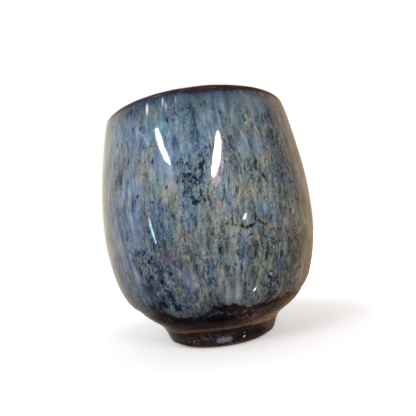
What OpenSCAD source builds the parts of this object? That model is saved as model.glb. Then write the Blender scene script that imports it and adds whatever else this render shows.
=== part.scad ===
// Small handleless sake cup: a thrown stoneware bowl luted to a foot ring, with a dark base glaze,
// a streaked blue glaze over it, a brown lip band and a glazed inside. Sizes are in millimetres.
// The cup stands on z = 0 and its axis is z.

/* [Bowl] */
// Height of the bare clay from the standing face to the top of the lip
cup_h = 63.6; // [58:0.1:70]
// Radius of the bare clay at the belly
belly_r = 29.1; // [27:0.1:32]
// Height of the belly above the standing face
belly_z = 34.2; // [31:0.1:38]
// How far the mouth is drawn in from the belly, to the middle of the lip
mouth_draw = 3.9; // [2:0.1:6]
// Thickness of the clay at the lip
lip_w = 1.5; // [1:0.1:2.4]
// Lean of the wall towards the axis at the lip, in degrees
lip_lean = 8; // [4:0.5:14]
// Thickness of the clay at the belly
belly_wall = 3; // [2:0.1:4]
// Thickness of the clay floor
floor_t = 4.1; // [3:0.1:5.5]
// Rise of the wall where it leaves the foot, in degrees above the horizontal
rise = 32; // [26:0.5:40]
// Pull of the curve where the wall leaves the foot
foot_pull = 6.3; // [4:0.1:9]
// Pull of the curve below the belly
low_pull = 19.6; // [16:0.1:22]
// Pull of the curve above the belly
high_pull = 10.8; // [7:0.1:14]
// Pull of the curve below the lip
lip_pull = 13.4; // [9:0.1:16]
// Pull of the inside curve where it leaves the middle of the floor
floor_pull = 20; // [16:0.1:22]

/* [Foot] */
// Height of the foot ring
ring_h = 5.3; // [4:0.1:8]
// Radius of the foot ring where it meets the bowl
ring_top_r = 16.1; // [15:0.1:18]
// Radius of the foot ring at the top of its bevel
ring_low_r = 14.3; // [13.2:0.1:15]
// Outer radius of the standing face
stand_r = 12.4; // [11:0.1:13.2]
// Height of the bevel round the standing face
bevel_h = 1; // [0.5:0.1:1.6]
// Radius of the hollow inside the foot ring
well_r = 9.2; // [7.5:0.1:10.5]
// Thickness of the slip between the ring and the bowl
slip_t = 0.4; // [0.2:0.05:0.8]

/* [Glaze] */
// Thickness of the dark base glaze
base_t = 0.4; // [0.2:0.05:0.6]
// Reach of the base glaze pooled in the crease above the foot
pool_reach = 1.8; // [1:0.1:2.4]
// Thickness of the streaked glaze
streak_t = 0.4; // [0.2:0.05:0.7]
// Thickness of the streaked glaze where it has run thin at the lip band
streak_thin_t = 0.1; // [0.05:0.05:0.2]
// Height over which the streaked glaze thins out towards the lip
thin_reach = 8; // [4:0.5:16]
// Height of the lower edge of the streaked glaze
dip_z = 11.5; // [10:0.1:16]
// Thickness of the brown lip band
band_t = 0.4; // [0.2:0.05:0.6]
// Depth of the lip band down each side of the wall
band_drop = 0.3; // [0.1:0.1:2]
// Thickness of the glaze inside the cup
liner_t = 0.4; // [0.2:0.05:0.7]
// Thickness of the glaze in the hollow of the foot
well_t = 0.4; // [0.2:0.05:0.6]
// Reach of the well glaze pooled in its corner
well_pool_reach = 1.2; // [0.6:0.1:2]
// Height of the lower edge of the well glaze
well_edge_z = 0.8; // [0.5:0.1:1.6]

/* [Hidden] */

// Facets round the axis, and steps along a long curve, a short stretch and a rounding
$fn = 144;
long_steps = 16;
short_steps = 1;
round_steps = 12;

// A cubic curve's speed at either end is this many times its pull there
end_speed = 3;

seat_z = ring_h + slip_t;
floor_z = seat_z + floor_t;
lip_mid = [belly_r - mouth_draw, cup_h - lip_w / 2];

// Points and directions in these outlines are [radius, height]
function polar(angle) = [cos(angle), sin(angle)];

// Unit normal on the right of a direction
function right_of(d) = [d.y, -d.x] / norm(d);

function bezier(p, t) =
    pow(1 - t, 3) * p[0] + 3 * pow(1 - t, 2) * t * p[1] + 3 * (1 - t) * pow(t, 2) * p[2] + pow(t, 3) * p[3];

function heading(p, t) =
    pow(1 - t, 2) * (p[1] - p[0]) + 2 * (1 - t) * t * (p[2] - p[1]) + pow(t, 2) * (p[3] - p[2]);

// Stations along a curve, each a point and the normal out of the clay there
function stations(p, t0, t1, steps) = [
    for (i = [0:steps])
        let (t = t0 + (t1 - t0) * i / steps)
        [bezier(p, t), right_of(heading(p, t))]
];

// One list after another, without the point that they share
function chain(a, b) = concat(a, [for (i = [1:len(b) - 1]) b[i]]);

function points(s) = [for (q = s) q[0]];

// The outline that lies a coat's thickness off the stations
function coated(s, t) = [for (q = s) q[0] + t * q[1]];

function reversed(list) = [for (i = [len(list) - 1:-1:0]) list[i]];

// Stations on a path of points, with normals taken from the neighbours
function with_normals(path) = [
    for (i = [0:len(path) - 1])
        [path[i], right_of(path[min(i + 1, len(path) - 1)] - path[max(i - 1, 0)])]
];

// The stretch of a rising path above a height, cut at that height
function above(path, z) = [
    for (i = [1:len(path) - 1])
        let (a = path[i - 1], b = path[i])
        if (b.y > z) each (a.y > z ? [b] : [a + (b - a) * (z - a.y) / (b.y - a.y), b])
];

// Where two lines meet, each given by a point and a direction
function crossing(p, d, q, e) =
    p + d * ((q - p).x * e.y - (q - p).y * e.x) / (d.x * e.y - d.y * e.x);

// A rounding from one point to another that heads for the corner between them
function rounding(from, corner, to) = [
    for (i = [0:round_steps])
        let (t = i / round_steps)
        pow(1 - t, 2) * from + 2 * (1 - t) * t * corner + pow(t, 2) * to
];

// Outside of the clay: foot to belly, then belly to lip
crease = [ring_top_r, seat_z];
belly = [belly_r, belly_z];
lip_out = lip_mid + lip_w / 2 * polar(lip_lean);
lip_down = -polar(lip_lean + 90);
outer_low_curve = [crease, crease + foot_pull * polar(rise), belly - [0, low_pull], belly];
outer_high_curve = [belly, belly + [0, high_pull], lip_out + lip_pull * lip_down, lip_out];

// Inside of the clay: lip to belly, then belly to the middle of the floor
lip_in = lip_mid - lip_w / 2 * polar(lip_lean);
belly_in = [belly_r - belly_wall, belly_z];
inner_high_curve = [lip_in, lip_in + lip_pull * lip_down, belly_in + [0, high_pull], belly_in];
inner_low_curve = [belly_in, belly_in - [0, low_pull], [floor_pull, floor_z], [0, floor_z]];

// The lip band's edges, as a share of each upper curve
band_share = band_drop / (end_speed * lip_pull);
outer_low = stations(outer_low_curve, 0, 1, long_steps);
outer_high = stations(outer_high_curve, 0, 1 - band_share, long_steps);
outer_lip = stations(outer_high_curve, 1 - band_share, 1, short_steps);
lip_round = [
    for (i = [0:round_steps])
        let (n = polar(lip_lean + 180 * i / round_steps))
        [lip_mid + lip_w / 2 * n, n]
];
inner_lip = stations(inner_high_curve, 0, band_share, short_steps);
inner_high = stations(inner_high_curve, band_share, 1, long_steps);
inner_low = stations(inner_low_curve, 0, 1, long_steps);

outside = chain(outer_low, outer_high);
lip = chain(chain(outer_lip, lip_round), inner_lip);
inside = chain(inner_high, inner_low);

// Outside of the foot ring, and the base glaze's face on it down to the bevel
ring_wall = [[ring_low_r, bevel_h], [ring_top_r, ring_h]];
wall_up = (ring_wall[1] - ring_wall[0]) / norm(ring_wall[1] - ring_wall[0]);
wall_face = ring_wall[0] + base_t * right_of(wall_up);
wall_foot = wall_face + wall_up * (bevel_h - wall_face.y) / wall_up.y;

// The base glaze's face: up the foot, through the pool in the crease, up the bowl
pool_corner = crossing(wall_face, wall_up, crease + base_t * right_of(polar(rise)), polar(rise));
pool_share = pool_reach / (end_speed * foot_pull);
above_pool = stations(outer_low_curve, pool_share, 1, long_steps);
bowl_face = coated(chain(above_pool, outer_high), base_t);
pool = rounding(pool_corner - pool_reach * wall_up, pool_corner, bowl_face[0]);
base_face = concat([wall_foot], chain(pool, bowl_face));

// The streaked glaze's two faces, from its lower edge to the lip band
streak_back = above(base_face, dip_z);
streak_top_z = streak_back[len(streak_back) - 1].y;

// Thickness of the streaked glaze at a height
function streak_depth(z) =
    let (u = min(1, (streak_top_z - z) / thin_reach))
    streak_thin_t + (streak_t - streak_thin_t) * u * (2 - u);
streak_face = [for (q = with_normals(streak_back)) q[0] + streak_depth(q[0].y) * q[1]];

// A layer turned about the axis, between two outlines that run the same way
module turned_layer(back, face) {
    rotate_extrude() polygon(concat(back, reversed(face)));
}

module clay_bowl() {
    outline = chain(chain(points(outside), points(lip)), points(inside));
    color("tan") rotate_extrude() polygon(concat([[0, seat_z]], outline));
}

module foot_ring() {
    color("sienna")
        rotate_extrude()
            polygon(concat([[well_r, 0], [stand_r, 0]], ring_wall, [[well_r, ring_h]]));
}

module joining_slip() {
    color("rosybrown")
        turned_layer([[well_r, ring_h], [ring_top_r, ring_h]], [[well_r, seat_z], crease]);
}

module base_glaze() {
    color([0.13, 0.09, 0.08]) turned_layer(concat(ring_wall, points(outside)), base_face);
}

module streaked_glaze() {
    color([0.36, 0.44, 0.5]) turned_layer(streak_back, streak_face);
}

module lip_band() {
    color([0.25, 0.14, 0.12]) turned_layer(points(lip), coated(lip, band_t));
}

module liner_glaze() {
    color([0.42, 0.48, 0.52]) turned_layer(points(inside), coated(inside, liner_t));
}

module foot_well_glaze() {
    wall_r = well_r - well_t;
    ceiling_z = seat_z - well_t;
    corner = [wall_r, ceiling_z];
    well_face = rounding(corner - [0, well_pool_reach], corner, corner - [well_pool_reach, 0]);
    color([0.13, 0.09, 0.08])
        turned_layer(
            [[well_r, well_edge_z], [well_r, seat_z], [0, seat_z]],
            concat([[wall_r, well_edge_z]], well_face, [[0, ceiling_z]])
        );
}

clay_bowl();
foot_ring();
joining_slip();
base_glaze();
streaked_glaze();
lip_band();
liner_glaze();
foot_well_glaze();
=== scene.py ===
# Looks of a small sake cup with a streaked blue glaze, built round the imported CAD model.
# Lengths are in metres. The cup's axis is z, and azimuth 0 is the side that faces -y.
import math

import bpy
import numpy as np
from mathutils import Matrix, Vector, noise


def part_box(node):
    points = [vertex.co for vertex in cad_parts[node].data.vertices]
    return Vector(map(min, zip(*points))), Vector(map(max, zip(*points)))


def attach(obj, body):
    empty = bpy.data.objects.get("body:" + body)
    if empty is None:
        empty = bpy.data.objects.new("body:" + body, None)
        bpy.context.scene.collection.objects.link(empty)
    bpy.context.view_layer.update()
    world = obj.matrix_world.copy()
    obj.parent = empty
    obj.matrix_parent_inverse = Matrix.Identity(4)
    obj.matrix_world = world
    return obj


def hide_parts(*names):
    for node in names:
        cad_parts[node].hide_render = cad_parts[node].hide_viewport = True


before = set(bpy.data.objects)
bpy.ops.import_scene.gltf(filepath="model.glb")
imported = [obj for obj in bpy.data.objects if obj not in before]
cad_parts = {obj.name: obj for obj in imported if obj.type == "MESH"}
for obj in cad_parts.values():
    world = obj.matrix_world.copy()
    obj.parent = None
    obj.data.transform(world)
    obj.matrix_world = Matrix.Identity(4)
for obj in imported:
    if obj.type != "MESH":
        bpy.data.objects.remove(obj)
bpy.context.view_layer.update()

mm = 0.001
scene = bpy.context.scene

# Sizes that the frame gives
bowl_low, bowl_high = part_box("clay_bowl")
ring_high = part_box("foot_ring")[1]
base_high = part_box("base_glaze")[1]
streak_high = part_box("streaked_glaze")[1]
cup_h = bowl_high.z
belly_r = bowl_high.x
seat_z = bowl_low.z
ring_h = ring_high.z
ring_top_r = ring_high.x
base_t = base_high.x - belly_r
streak_t = streak_high.x - base_high.x
band_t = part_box("lip_band")[1].z - cup_h
floor_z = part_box("liner_glaze")[0].z
well_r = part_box("foot_well_glaze")[1].x

# Shape values that a box doesn't give. They are the CAD model's, apart from pool_reach, which is wider here.
belly_z = 34.2 * mm
mouth_draw = 3.9 * mm
lip_w = 1.5 * mm
lip_lean = math.radians(8)
belly_wall = 3 * mm
rise = math.radians(32)
foot_pull = 6.3 * mm
low_pull = 19.6 * mm
high_pull = 10.8 * mm
lip_pull = 13.4 * mm
floor_pull = 20 * mm
ring_low_r = 14.3 * mm
stand_r = 12.4 * mm
bevel_h = 1 * mm
pool_reach = 2.4 * mm
thin_t = 0.1 * mm
thin_reach = 8 * mm
liner_t = 0.4 * mm
well_t = 0.4 * mm
well_pool_reach = 1.2 * mm
well_edge_z = 0.8 * mm
band_drop = 0.3 * mm

# Shape values of the scene alone. The streaked coat's edge is rolled, starts with a share of the full depth
# and thins out at the left. The coat swells above it, has shallow runs and thins at its end.
roll_reach = 0.9 * mm
roll_rows = np.array([0, 0.03, 0.1, 0.2, 0.35, 0.55, 0.8, 1.1])
roll_share = 0.7
grown_reach = 3 * mm
left_reach = 4 * mm
tuck = 0.02 * mm
coat_overlap = 0.05 * mm
back_inset = 0.2 * mm
swell_share = 0.6
swell_z = 14.5 * mm
swell_reach = 5 * mm
run_share = 0.07
end_share = 0.1
end_reach = 1.2 * mm
# The cup is fuller low on the right than a turned one.
full_t = 0.55 * mm
full_turn = math.radians(72)
full_half_turn = math.radians(30)
full_z = 10.5 * mm
full_half_h = 3.6 * mm
# The dark coat and the lip band have soft ends. The foot's wall bulges and is wavy, the lip is worn, the
# inside is uneven and has throwing rings, the hollow's ceiling sinks towards its middle, and the foot has
# soft edges and a gritty standing face.
edge_reach = 0.5 * mm
lip_end_share = 0.97
wall_bulge = 0.07 * mm
wave_h = 0.012 * mm
lip_wear = 0.05 * mm
uneven_h = 0.05 * mm
throwing_h = 0.06 * mm
throwing_step = 4.4 * mm
well_sink = 0.25 * mm
foot_soft = 0.3 * mm
grit_h = 0.05 * mm

# Quads round the axis on the fine and on the plain pieces, and the angle from which an edge looks sharp
fine_turns = 480
plain_turns = 192
sharp_angle = math.radians(50)
# Points on a rounding, on a small one, and on the short ends of the lip's outline
bend_steps = 60
small_steps = 6
end_steps = 12
# Points up the pieces' faces and backs. Those of the dark coat are closer below dark_low_z.
streak_rows = 104
streak_back_rows = 24
dark_low_z = 16 * mm
dark_low_rows = 64
dark_high_rows = 40
dark_back_rows = 60
lip_rows = 40
liner_rows = 110
well_rows = 14
stand_rows = 12
# How far apart in the noise two seeds lie, across and up
seed_across = 17.3
seed_up = 5.1


def polar(angle):
    return np.stack([np.cos(angle), np.sin(angle)], -1)


def unit(v):
    return v / np.linalg.norm(v, axis=-1, keepdims=True)


def right_of(d):
    """Unit normals on the right of directions given as rows of (radius, height)."""
    return unit(np.stack([d[..., 1], -d[..., 0]], -1))


def cubic(points, start=0.0, end=1.0, count=400):
    p = np.array(points)
    t = np.linspace(start, end, count)[:, None]
    s = 1 - t
    return s**3 * p[0] + 3 * s**2 * t * p[1] + 3 * s * t**2 * p[2] + t**3 * p[3]


def rounding(start, corner, end, count=bend_steps):
    t = np.linspace(0, 1, count)[:, None]
    return (1 - t) ** 2 * start + 2 * (1 - t) * t * corner + t**2 * end


def joined(*parts):
    """Outlines one after another, without the points that they share."""
    return np.vstack([parts[0]] + [p[1:] for p in parts[1:]])


class Outline:
    """A curve of (radius, height) rows that is read by the distance along it."""

    def __init__(self, points):
        steps = np.linalg.norm(np.diff(points, axis=0), axis=1)
        keep = np.concatenate([[True], steps > 1e-9])
        self.points = points[keep]
        steps = np.linalg.norm(np.diff(self.points, axis=0), axis=1)
        self.along = np.concatenate([[0], np.cumsum(steps)])
        self.length = self.along[-1]
        self.normals = right_of(np.gradient(self.points, self.along, axis=0))

    def place(self, s):
        return np.stack([np.interp(s, self.along, self.points[:, k]) for k in (0, 1)], -1)

    def normal(self, s):
        return unit(np.stack([np.interp(s, self.along, self.normals[:, k]) for k in (0, 1)], -1))

    def reach(self, z):
        """Distance along a rising outline at which it gets to a height."""
        return np.interp(z, self.points[:, 1], self.along)


# The clay's outline: crease to belly to lip, round the lip, and down the inside to the floor's middle
up = np.array([0.0, 1.0])
crease = np.array([ring_top_r, seat_z])
belly = np.array([belly_r, belly_z])
belly_in = belly - np.array([belly_wall, 0])
floor_mid = np.array([0, floor_z])
floor_side = np.array([floor_pull, floor_z])
lip_mid = np.array([belly_r - mouth_draw, cup_h - lip_w / 2])
lip_out = lip_mid + lip_w / 2 * polar(lip_lean)
lip_in = lip_mid - lip_w / 2 * polar(lip_lean)
lip_down = -polar(lip_lean + math.pi / 2)
# A cubic leaves each end at three times the pull there, so these are shares of its way
band_share = band_drop / (3 * lip_pull)
pool_share = pool_reach / (3 * foot_pull)
low_curve = [crease, crease + foot_pull * polar(rise), belly - low_pull * up, belly]
high_curve = [belly, belly + high_pull * up, lip_out + lip_pull * lip_down, lip_out]
inner_high_curve = [lip_in, lip_in + lip_pull * lip_down, belly_in + high_pull * up, belly_in]
inner_low_curve = [belly_in, belly_in - low_pull * up, floor_side, floor_mid]
high_side = cubic(high_curve, 0, 1 - band_share)
bowl_side = joined(cubic(low_curve), high_side)
inside = joined(cubic(inner_high_curve, band_share, 1), cubic(inner_low_curve))
lip_turn = np.linspace(lip_lean, lip_lean + math.pi, bend_steps)
lip_round = lip_mid + lip_w / 2 * polar(lip_turn)
lip_start = cubic(high_curve, 1 - band_share, 1, end_steps)
lip_line = joined(lip_start, lip_round, cubic(inner_high_curve, 0, band_share, end_steps))

# The dark glaze's face: up the foot, through the pool in the crease, up the bowl
wall_low = np.array([ring_low_r, bevel_h])
wall_top = np.array([ring_top_r, ring_h])
wall_up = unit(wall_top - wall_low)
wall_face = wall_low + base_t * right_of(wall_up)
wall_foot = wall_face + wall_up * (bevel_h - wall_face[1]) / wall_up[1]
bowl_normal = right_of(polar(rise))
bowl_start = crease + base_t * bowl_normal
along_wall = (bowl_start - wall_face) @ bowl_normal / (wall_up @ bowl_normal)
pool_corner = wall_face + wall_up * along_wall
above_pool = joined(cubic(low_curve, pool_share, 1), high_side)
bowl_face = above_pool + base_t * Outline(above_pool).normals
pool_line = rounding(pool_corner - pool_reach * wall_up, pool_corner, bowl_face[0])
dark_face = Outline(joined(np.array([wall_foot, pool_line[0]]), pool_line, bowl_face))


def around(turns):
    """Azimuths of the quads' corners."""
    return np.linspace(-math.pi, math.pi, turns, endpoint=False)


def ripple(az, z, size, tall, seed):
    """Smooth noise of about -1 to 1 on the cup's side, with lumps of that width and height."""
    az, z = np.broadcast_arrays(az, z)
    ring = belly_r / size
    values = [
        noise.noise(Vector((
            ring * math.sin(a), seed * seed_across - ring * math.cos(a), h / tall + seed * seed_up
        )))
        for a, h in zip(az.ravel(), z.ravel())
    ]
    return np.array(values).reshape(az.shape)


def placed(name, data):
    """An object with that data in the scene."""
    made = bpy.data.objects.new(name, data)
    scene.collection.objects.link(made)
    return made


def turned(name, radius, height, az, poles=False):
    """A closed mesh from outlines round the axis. Radius and height have a row for each azimuth, or one for
    all. With poles the first and last points of each outline are one point on the axis."""
    height = np.broadcast_to(height, (len(az), height.shape[-1]))
    ring = np.stack([radius * np.sin(az)[:, None], -radius * np.cos(az)[:, None], height], -1)
    body = ring[:, 1:-1] if poles else ring
    points = body.reshape(-1, 3)
    here = np.arange(len(points)).reshape(len(az), -1)
    after = np.roll(here, -1, 0)
    if poles:
        first = len(points)
        last = first + 1
        points = np.vstack([points, [[0, 0, height[0, 0]], [0, 0, height[0, -1]]]])
        quads = [here[:, :-1], here[:, 1:], after[:, 1:], after[:, :-1]]
        caps = [(first, i, j) for i, j in zip(here[:, 0].tolist(), after[:, 0].tolist())]
        caps += [(last, j, i) for i, j in zip(here[:, -1].tolist(), after[:, -1].tolist())]
    else:
        quads = [here, after, np.roll(after, -1, 1), np.roll(here, -1, 1)]
        caps = []
    faces = np.stack(quads, -1).reshape(-1, 4).tolist() + caps
    mesh = bpy.data.meshes.new(name)
    mesh.from_pydata(points.tolist(), [], faces, shade_flat=False)
    mesh.validate()
    mesh.set_sharp_from_angle(angle=sharp_angle)
    mesh.update()
    return placed(name, mesh)


def rising(x, low, high):
    """0 below low, 1 above high and a soft step between; falling where low is the larger."""
    t = np.clip((x - low) / (high - low), 0, 1)
    return t * t * (3 - 2 * t)


# The line where the streaked glaze ends: azimuth in degrees and height in millimetres
dip_points = [
    (-180, 12.6), (-160, 11.4), (-142, 12.8), (-120, 11.6), (-98, 11.2), (-75, 10.4), (-53, 9.9), (-41, 10),
    (-33, 10.5), (-27, 9.7), (-22, 9.7), (-16, 9.7), (-11, 9.9), (-7, 10.6), (-4, 11.9), (-1, 12.2),
    (2, 11.8), (5, 12.1), (8, 11.8), (11, 11.6), (14, 11), (20, 10.3), (24, 11), (32, 11.2), (36, 11.2),
    (42, 11.9), (55, 11.6), (75, 12.8), (98, 11.2), (121, 12.5), (139, 10.9), (160, 12.2), (180, 12.6),
]

# Marks on the cup's side, as rows of azimuth in degrees, height, half width and half height in millimetres,
# and strength. These are marks in the streaked glaze.
blue_marks = {}
# Where the dark glaze breaks through. The broad tall mark at azimuth 44 is painted shade down the right
# side.
blue_marks["dark"] = [
    (-5.3, 42, 1.8, 1.6, 1), (-3, 40.5, 1, 1.2, 0.9), (-6.3, 36.8, 1.2, 0.9, 0.9), (-1, 36.2, 1.6, 1.4, 1),
    (-8, 45.2, 1.6, 1, 0.9), (-4, 44.6, 1.2, 1.4, 0.8), (0.5, 46, 1.6, 1, 0.9), (-1, 53.5, 0.9, 3, 0.5),
    (-2.5, 57.5, 1.6, 2, 0.5), (-4.9, 31.8, 0.7, 1.3, 1), (-12.5, 42, 1, 1.2, 0.6), (-26, 21.5, 1.4, 2.4, 1),
    (-37, 18.5, 2.2, 2.6, 0.9), (-33, 25.6, 2.2, 1, 1), (-31, 23.6, 1, 1.6, 0.8), (-22, 22.8, 1.2, 1, 0.8),
    (-13, 10.6, 0.8, 0.6, 0.8), (-32, 39, 0.9, 1.5, 1.2), (-44.5, 37, 1.3, 2.2, 0.8),
    (-42, 45, 1.2, 1.4, 1.1), (-31.5, 33, 0.6, 3, 0.9), (-41, 31.5, 1, 1.2, 0.6),
    (26.8, 40.3, 0.9, 1.6, 0.9), (37.5, 40.5, 1.5, 1.4, 0.8), (32.5, 33, 0.7, 2, 0.7), (44.5, 39, 1, 2, 0.7),
    (43, 33.5, 1.6, 1.4, 0.6), (36, 53.5, 1.4, 3, 0.7), (41, 51.5, 1.6, 2.4, 0.7),
    (40.5, 58.5, 1.4, 1.4, 0.6), (41.5, 47.5, 1.2, 0.9, 0.7), (27, 59, 1, 3, 0.5), (-33, 60.4, 3, 2.4, 0.9),
    (-20, 61.6, 4, 1, 0.8), (-15.5, 58, 0.8, 1.4, 0.7), (3.6, 24.6, 0.5, 2.2, 1), (19.5, 24.8, 1, 1.2, 0.9),
    (25.4, 26.6, 0.9, 1.1, 1), (28.7, 24.6, 0.5, 2.6, 1), (25, 22.2, 0.5, 1.6, 1), (33.4, 22.6, 0.7, 1.8, 1),
    (41, 24, 2, 0.9, 0.7), (38.2, 19.4, 0.8, 2, 0.7), (40.6, 21.8, 0.6, 1.2, 0.8), (-9.3, 19, 0.6, 1.6, 0.8),
    (-12.6, 17.5, 0.5, 1.6, 0.9), (-3.6, 17.8, 1, 0.8, 1), (-6.8, 14, 0.5, 1.2, 0.9),
    (11.6, 17.5, 0.5, 1.8, 0.8), (26.4, 17.9, 1.2, 0.8, 1), (28.5, 16.3, 1.6, 2, 1),
    (30.5, 13.4, 1.6, 1.4, 0.9), (-4, 42, 4, 7, 0.5), (-28, 17, 7, 6, 0.55), (30, 15, 4, 2.5, 0.4),
    (38, 52, 4, 7, 0.4), (24, 24, 7, 4, 0.5), (-34, 20, 5, 6, 0.5), (44, 34, 7, 24, 0.4),
    (-4.5, 40, 2.4, 5, 0.7), (-44, 28.6, 1.4, 0.7, 0.8), (-41, 27.4, 1.2, 0.9, 0.9),
    (-38, 27, 1.4, 0.8, 0.9), (-35, 26.4, 1.4, 0.9, 1), (-29, 25.8, 1.2, 0.8, 0.9), (-26, 26.4, 1, 0.8, 0.8),
    (-24, 25.2, 1, 0.8, 0.7), (-47, 49.3, 0.8, 1.5, 1.2), (-45.5, 43.5, 0.8, 1.8, 1.2),
    (-44.7, 36.8, 1.2, 1.6, 1.35), (-42, 34.3, 0.8, 1, 1.2), (-4.3, 40.8, 1.7, 1.9, 1),
    (-3, 36.4, 2, 1.1, 1), (0.5, 44.5, 1.6, 0.9, 1), (-11.5, 45.4, 1.2, 0.6, 1), (-34.5, 60, 1.4, 2.2, 0.95),
    (-14, 58, 1.6, 1.1, 0.75), (-5.5, 58, 0.6, 2.2, 0.5), (8, 55.5, 0.8, 2.6, 0.7),
    (36, 55.5, 1.1, 3.2, 0.9), (41.5, 56, 1.3, 3.5, 0.85),
]
# Where the blue ends in a black mist above the dark glaze
blue_marks["soot"] = [
    (-31, 13.8, 2.8, 1.6, 0.95), (-37, 12, 3.6, 2.4, 1.15), (-22.5, 12.7, 1.3, 1.2, 1),
    (-26, 15.4, 2.4, 1.4, 0.7), (-41, 10.8, 3.5, 1.6, 0.9), (-35, 17.5, 3, 2.2, 0.7),
    (-25.6, 20.6, 1, 2.6, 0.95), (-27, 23.4, 0.9, 1.2, 0.8), (-34, 10.2, 3, 1.2, 1),
    (-36, 26.2, 1.6, 0.8, 0.6), (29, 13.4, 1.6, 1.2, 0.7),
]
# Where the blue lies thick and milky. The long marks at the left and right sides also smooth the runs there
# as painted reflection.
blue_marks["calm"] = [
    (-36, 37, 6, 9, 1), (-18, 42, 4, 6, 1), (-9, 50, 5, 5, 0.8), (22, 50, 8, 8, 0.8),
    (24.5, 33.5, 2.6, 2.4, 0.9), (-46, 31, 6, 12, 0.8), (-31, 31, 4, 4, 0.9), (33, 29.5, 3, 1.6, 0.6),
    (-58, 45, 6, 20, 1), (-58, 22, 5, 12, 1), (55, 38, 4.5, 26, 1), (4, 16, 9, 4, 0.75), (14, 40, 4, 6, 0.5),
    (-14, 19, 3.5, 5, 0.8), (-38, 19, 4, 4, 0.7), (-48, 20, 5, 9, 0.9),
]
# Where it leans to maroon
blue_marks["rosy"] = [
    (-20, 24.2, 2, 1.7, 1), (8, 27, 0.8, 1, 0.6), (-39, 50, 2.5, 4, 0.6), (-30, 47, 1.2, 3, 0.5),
    (40, 27.5, 2.5, 2, 0.6), (-36, 23, 1.5, 1.5, 0.5), (11, 17, 0.6, 1.5, 0.5), (3, 15.4, 3, 1.2, 0.3),
]
# Where it leans to mauve
blue_marks["violet"] = [
    (-35, 51, 4.5, 4, 1.2), (-28, 43, 2.5, 6, 0.6), (33, 29.5, 3.5, 2, 0.8), (42, 27, 4, 2.4, 0.9),
    (22, 49, 6, 5, 0.5), (-17, 42, 3, 4, 0.4), (-36, 34, 4, 6, 0.3), (2, 15, 6, 2, 0.7), (28, 57, 4, 4, 0.5),
    (-12, 14, 4, 2.5, 0.6), (-30, 43, 6, 13, 0.5), (-58, 22, 6, 12, 0.3), (-14, 18, 4, 5, 0.5),
    (-44, 36, 5, 9, 0.6), (29, 53, 4, 6, 0.5),
]
# Painted warm reflection at the left and right sides, in tan
blue_marks["tan"] = [
    (65, 19, 9, 12, 1), (62, 46, 5, 16, 0.35), (-63, 20, 6, 9, 0.6),
]
# Painted reflection at the left and right sides, which blurs the runs into each other
blue_marks["even"] = [
    (-61, 46, 6, 18, 1), (-57, 21, 7.5, 11, 1), (61, 40, 5.5, 22, 1), (59, 18, 5, 8, 1),
]
# Painted highlights below the lip, as pale runs
blue_marks["pale"] = [
    (-23.9, 60.1, 0.4, 1.7, 1), (-14.9, 61, 0.4, 1.9, 0.65), (-13.3, 59.6, 0.35, 1.4, 0.6),
    (-8, 60.9, 0.35, 1.9, 0.5), (4.3, 55.3, 0.45, 1.2, 0.4), (7.2, 59.2, 0.3, 0.7, 0.5),
]
# Marks in the streaked glaze that add up
signed_marks = {}
# Where it leans to olive and cream, or to blue where the strength is below 0. Near the left and right sides
# the warm marks are partly painted warm reflection.
signed_marks["warm"] = [
    (19, 37, 4, 3, 0.9), (2, 39, 3, 3, 0.7), (-12, 37, 3, 4, 0.7), (-13, 29, 3, 2.6, 0.9),
    (22, 23, 7, 4, 0.9), (-9, 14, 3, 2.4, 0.8), (5, 15, 6, 2.4, 0.3), (31, 44, 3, 2.4, 1),
    (38, 46, 3, 1.4, 0.8), (50, 34, 9, 22, 1), (-6, 25, 6, 6, 0.5), (28, 55, 4, 4, 0.25),
    (-29, 46, 1.2, 3, 0.6), (44, 18, 8, 6, 0.8), (50, 56, 4, 7, 0.8), (-55, 52, 5, 12, 0.5),
    (15, 35, 5, 9, 0.7), (0, 47.5, 5, 5, -0.9), (-15, 47, 4, 5, -0.6), (-46, 45, 6, 9, -0.8),
    (-15, 25, 4, 3, -0.5), (30, 25, 5, 8, 0.5), (46, 24, 5, 7, 0.4), (31, 42, 4, 4, 0.3),
    (30, 61, 4, 2, 0.8), (0, 55, 4, 3, -0.5), (58, 36, 5, 26, 0.8), (-60, 46, 5, 12, 0.5),
    (-15, 33, 4, 5, -0.5), (18, 54, 8, 7, 0.55), (47, 24, 6, 8, 0.6), (-24, 52, 8, 8, 0.2),
    (38.5, 52, 3, 6.5, -0.7), (-35, 51, 4.5, 4, 0.5), (-50, 20, 5, 8, -0.5), (-5, 42, 4, 4, -0.6),
    (-26, 11.2, 2.5, 1.2, 0.6),
]
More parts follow.
